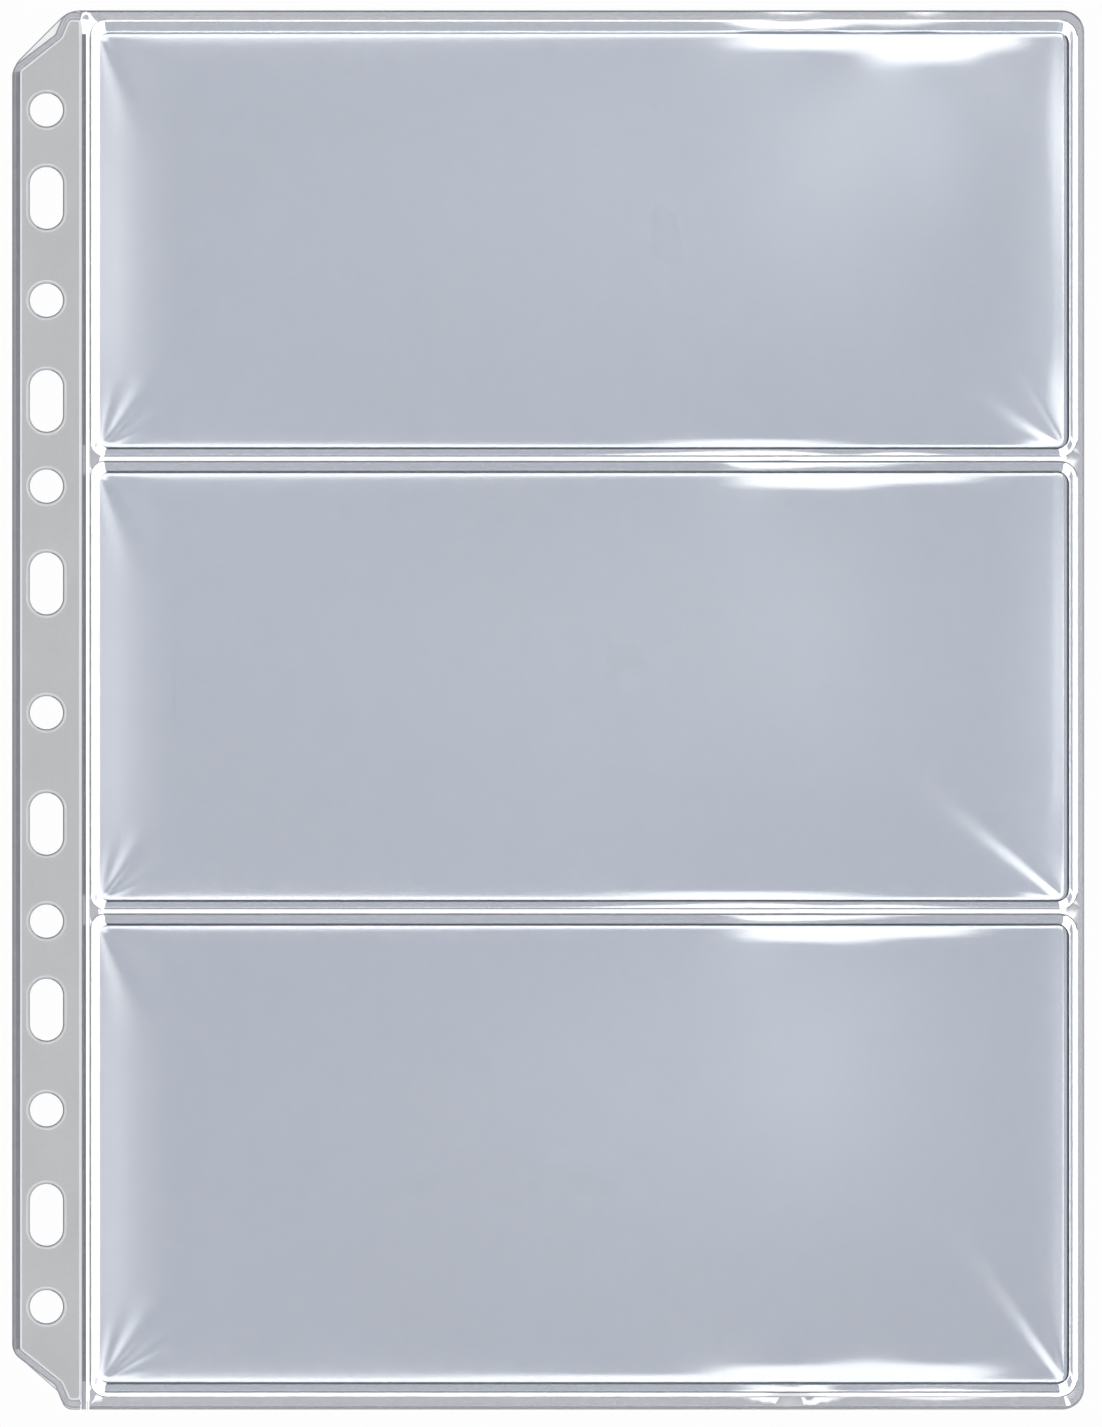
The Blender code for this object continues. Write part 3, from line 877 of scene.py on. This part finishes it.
strip = {
    "base": 0.42, "wall": 0.15,
    # rounded edges, of the outline and of each hole: distance out and height
    "edge": ((0.0, 0.0), (-0.07, 0.12), (-0.16, 0.20), (-0.28, 0.24)),
    "holes": ((0.66, 0.24), (0.58, 0.22), (0.46, 0.15), (0.34, 0.02)),
}


def makeStrip():
    verts, faces, zones = [], [], []
    rings = [addRing(verts, stripOutline(inset), strip["base"] + height) for inset, height in strip["edge"]]
    for outer, inner in zip(rings, rings[1:]):
        # the rounded edge is painted pale as a highlight
        ringBand(faces, zones, outer, inner, "stripEdge")
    lips = []
    for outlines in zip(*(holeOutlines(grow) for grow, _ in strip["holes"])):
        holeRings = [addRing(verts, ring, strip["base"] + height)
                     for ring, (_, height) in zip(outlines, strip["holes"])]
        for outer, inner in zip(holeRings, holeRings[1:]):
            # each hole's bevel is painted pale as a highlight
            ringBand(faces, zones, outer, inner, "stripLip")
        lips.append(holeRings[0])
    fillRings(verts, faces, zones, [rings[-1], *lips], "satinStrip")
    obj = formedSheet("punchedStrip", verts, faces, zones, strip["wall"])
    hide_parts("punched_strip")
    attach(obj, "binding")
    return obj


marginFilm, rimBead, punchedStrip = makeMarginFilm(), makeRimBead(), makeStrip()
print("binding margin:", sum(len(o.data.polygons) for o in (marginFilm, rimBead, punchedStrip)), "faces")

# flex groove: the thin web that the page turns on, closed by a small dome at the top
groove = {
    # across the groove: x, height, finish of the band that follows; the dark bands are painted shade and the
    # white ones painted highlight
    "section": (
        (-85.14, 0.56, "stripEdge"), (-84.98, 0.52, "weldFilm"), (-84.86, 0.40, "beadInner"),
        (-84.80, 0.25, "seamLine"), (-84.70, 0.20, "seamLine"), (-84.45, 0.19, "grooveFilm"),
        (-84.20, 0.20, "seamLine"), (-84.08, 0.25, "beadInner"), (-84.02, 0.33, "weldFilm"),
        (-83.90, 0.375, "weldFilm"), (-83.75, 0.39, "weldFilm"), (-83.60, 0.37, "weldFilm"),
        (-83.46, 0.30, "weldFilm"), (-83.36, 0.26, "weldFilm"),
    ),
    "gap": 2.8, "fineGap": 0.14, "fineFrom": 122.6,
    "flat": 0.30,  # height at which the groove runs out
    "topEnd": (123.0, 125.4), "bottomEnd": (-121.8, -124.5), "bottomShare": 0.6,
    "dome": (-84.10, 125.70, 0.95, 1.1, 0.45, 0.06),  # middle, half width, reach up and down, height
    "domeRise": (0.0, 0.55),
    "pad": (-84.10, 125.45, 126.75, 0.80, 0.45),  # middle, foot, tip, half width, how it narrows
    "arch": 0.15,
    # stretches that differ, painted highlight and shade at the groove's ends and beside the webs: low, high,
    # first and last column, finish
    "stretches": (
        (122.9, 125.5, 0, 13, "weldFilm"), (125.5, 126.95, 0, 13, "rimFilm"),
        (126.95, 127.2, 0, 13, "cutEdge"),
        (-127.2, -122.0, 3, 7, "seamShade"), (-127.2, -125.6, 8, 13, "rimFilm"),
        (42.7, 48.2, 4, 6, "seamShade"), (-39.1, -33.6, 4, 6, "seamShade"),
    ),
    "wall": 0.1, "turn": (-84.75, -84.15),  # the web bends between these
}


def makeGroove():
    xs = np.array([x for x, _, _ in groove["section"]])
    section = np.array([z for _, z, _ in groove["section"]])
    coarse = np.arange(page["bottom"], groove["fineFrom"], groove["gap"])
    fine = np.arange(groove["fineFrom"], page["top"], groove["fineGap"])
    cuts = [y for stretch in groove["stretches"] for y in stretch[:2]]
    ys = np.unique(np.concatenate((coarse, fine, cuts, [page["top"]])).round(3))
    obj, column, row, faceColumn, faceRow = gridSheet("flexGroove", xs, ys)
    x, y, z = xs[column], ys[row], section[column]
    z = z + (groove["flat"] - z) * smoothStep(*groove["topEnd"], y)
    z = z + (groove["flat"] - z) * groove["bottomShare"] * smoothStep(*groove["bottomEnd"], y)
    domeX, domeY, half, up, down, height = groove["dome"]
    inside = 1 - ((x - domeX) / half) ** 2 - ((y - domeY) / np.where(y > domeY, up, down)) ** 2
    moveVertices(obj, x, y, z + height * smoothStep(*groove["domeRise"], inside))
    acrossMiddle, alongMiddle = (xs[:-1] + xs[1:]) / 2, (ys[:-1] + ys[1:]) / 2
    padX, foot, tip, padHalf, power = groove["pad"]
    zones = []
    for c, r in zip(faceColumn, faceRow):
        zone = groove["section"][c][2]
        for low, high, first, last, finish in groove["stretches"]:
            if low < alongMiddle[r] < high and first <= c <= last:
                zone = finish
        aside, above = abs(acrossMiddle[c] - padX), alongMiddle[r] - foot
        # a painted white arch of highlight round the dome's grey pad
        for grow, finish in ((groove["arch"], "weldFilm"), (0.0, "rollFilm")):
            left = 1 - above / (tip - foot + grow)
            if above > 0 and left > 0 and aside < (padHalf + grow) * left**power:
                zone = finish
        zones.append(zone)
    paint(obj, zones)
    thicken(obj, groove["wall"])
    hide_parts("flex_web")
    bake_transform(obj)
    return obj


flexGroove = makeGroove()
print("flex groove:", len(flexGroove.data.polygons), "faces")

# stage: paper floor, soft boxes and a camera straight above
studio = {
    "floorSize": 4.0, "floorDrop": 0.0002, "paper": (0.985, 0.985, 0.99), "paperGlow": 0.6,
    "bareDepth": 0.5,  # a ray that has passed fewer films hasn't met the page
    "glow": 10.0, "still": 0.2,  # soft boxes and the dark between them, as the film's gloss sees them
    # how far a reflection leans where each soft box starts and is full, and where all of them end
    "boxes": (("X", -1, 0.0, 0.19), ("X", 1, 0.07, 0.15), ("Y", 1, 0.07, 0.15), ("Y", -1, 0.07, 0.15)),
    "boxEnd": (0.55, 0.75),
}


def makeFloor():
    bpy.ops.mesh.primitive_plane_add(size=studio["floorSize"], location=(0, 0, -studio["floorDrop"]))
    floor = bpy.context.object
    floor.name = "floor"
    paper = bpy.data.materials.new("floorPaper")
    paper.use_nodes = True
    tree = paper.node_tree
    nodes = tree.nodes
    matt = nodes["Principled BSDF"]
    matt.inputs["Roughness"].default_value = 1.0
    matt.inputs["Specular IOR Level"].default_value = 0.0
    white = nodes.new("ShaderNodeEmission")  # so the paper reads white, with part of the shadow kept
    clear = nodes.new("ShaderNodeBsdfTransparent")
    for socket in (matt.inputs["Base Color"], white.inputs["Color"], clear.inputs["Color"]):
        socket.default_value = (*studio["paper"], 1)
    path = nodes.new("ShaderNodeLightPath").outputs
    seen = mathNode(tree, "MAXIMUM", path["Is Camera Ray"], path["Is Glossy Ray"])
    seen = mathNode(tree, "MAXIMUM", seen, path["Is Transmission Ray"])
    glow = mathNode(tree, "MULTIPLY", seen, studio["paperGlow"])
    laid = mixNode(tree, glow, matt.outputs["BSDF"], white.outputs["Emission"])
    # past the page's edge the white behind shows instead, so a page that hangs under the floor isn't hidden
    bare = mathNode(tree, "LESS_THAN", path["Transparent Depth"], studio["bareDepth"])
    bare = mathNode(tree, "MULTIPLY", bare, path["Is Camera Ray"])
    both = mixNode(tree, bare, laid, clear.outputs["BSDF"])
    tree.links.new(both, nodes["Material Output"].inputs["Surface"])
    floor.data.materials.append(paper)


def makeWorld():
    world = bpy.data.worlds.new("studio")
    bpy.context.scene.world = world
    world.use_nodes = True
    tree = world.node_tree
    nodes, links = tree.nodes, tree.links
    plain = nodes["Background"]  # even light of strength 1 on the colours
    plain.inputs["Color"].default_value = (1, 1, 1, 1)
    plain.inputs["Strength"].default_value = 1.0
    look = nodes.new("ShaderNodeTexCoord")
    parts = nodes.new("ShaderNodeSeparateXYZ")
    links.new(look.outputs["Generated"], parts.inputs["Vector"])
    bright = 0.0
    for axis, sign, start, full in studio["boxes"]:
        span = (sign * start, sign * full)
        box = rangeNode(tree, parts.outputs[axis], 0.0, studio["glow"], *span, "SMOOTHSTEP")
        bright = mathNode(tree, "MAXIMUM", bright, box)
    lean = mathNode(tree, "ARCCOSINE", parts.outputs["Z"])
    inside = rangeNode(tree, lean, 1.0, 0.0, *studio["boxEnd"], "SMOOTHSTEP")
    bright = mathNode(tree, "MULTIPLY", bright, inside)
    softBoxes = nodes.new("ShaderNodeBackground")
    links.new(mathNode(tree, "ADD", bright, studio["still"]), softBoxes.inputs["Strength"])
    path = nodes.new("ShaderNodeLightPath").outputs
    both = mixNode(tree, path["Is Glossy Ray"], plain.outputs["Background"], softBoxes.outputs["Background"])
    links.new(both, nodes["World Output"].inputs["Surface"])


# the photograph's frame is 1102 x 1427 at 5.5 pixels to a millimetre
lensing = {
    "lens": 1000.0, "sensor": 36.0, "pixels": 1427, "pixelsPerMm": 5.5,
    "centre": (0.49, -0.64), "focus": 0.6,  # millimetres on the page, and the level that has this scale
}


def makeCamera():
    data = bpy.data.cameras.new("camera")
    data.lens, data.sensor_width = lensing["lens"], lensing["sensor"]
    camera = bpy.data.objects.new("camera", data)
    bpy.context.collection.objects.link(camera)
    height = lensing["pixels"] / lensing["pixelsPerMm"] * lensing["lens"] / lensing["sensor"]
    camera.location = (lensing["centre"][0] * mm, lensing["centre"][1] * mm, (lensing["focus"] + height) * mm)
    bpy.context.scene.camera = camera


makeFloor()
makeWorld()
makeCamera()
bpy.context.scene.view_settings.view_transform = "Standard"
print("stage set")
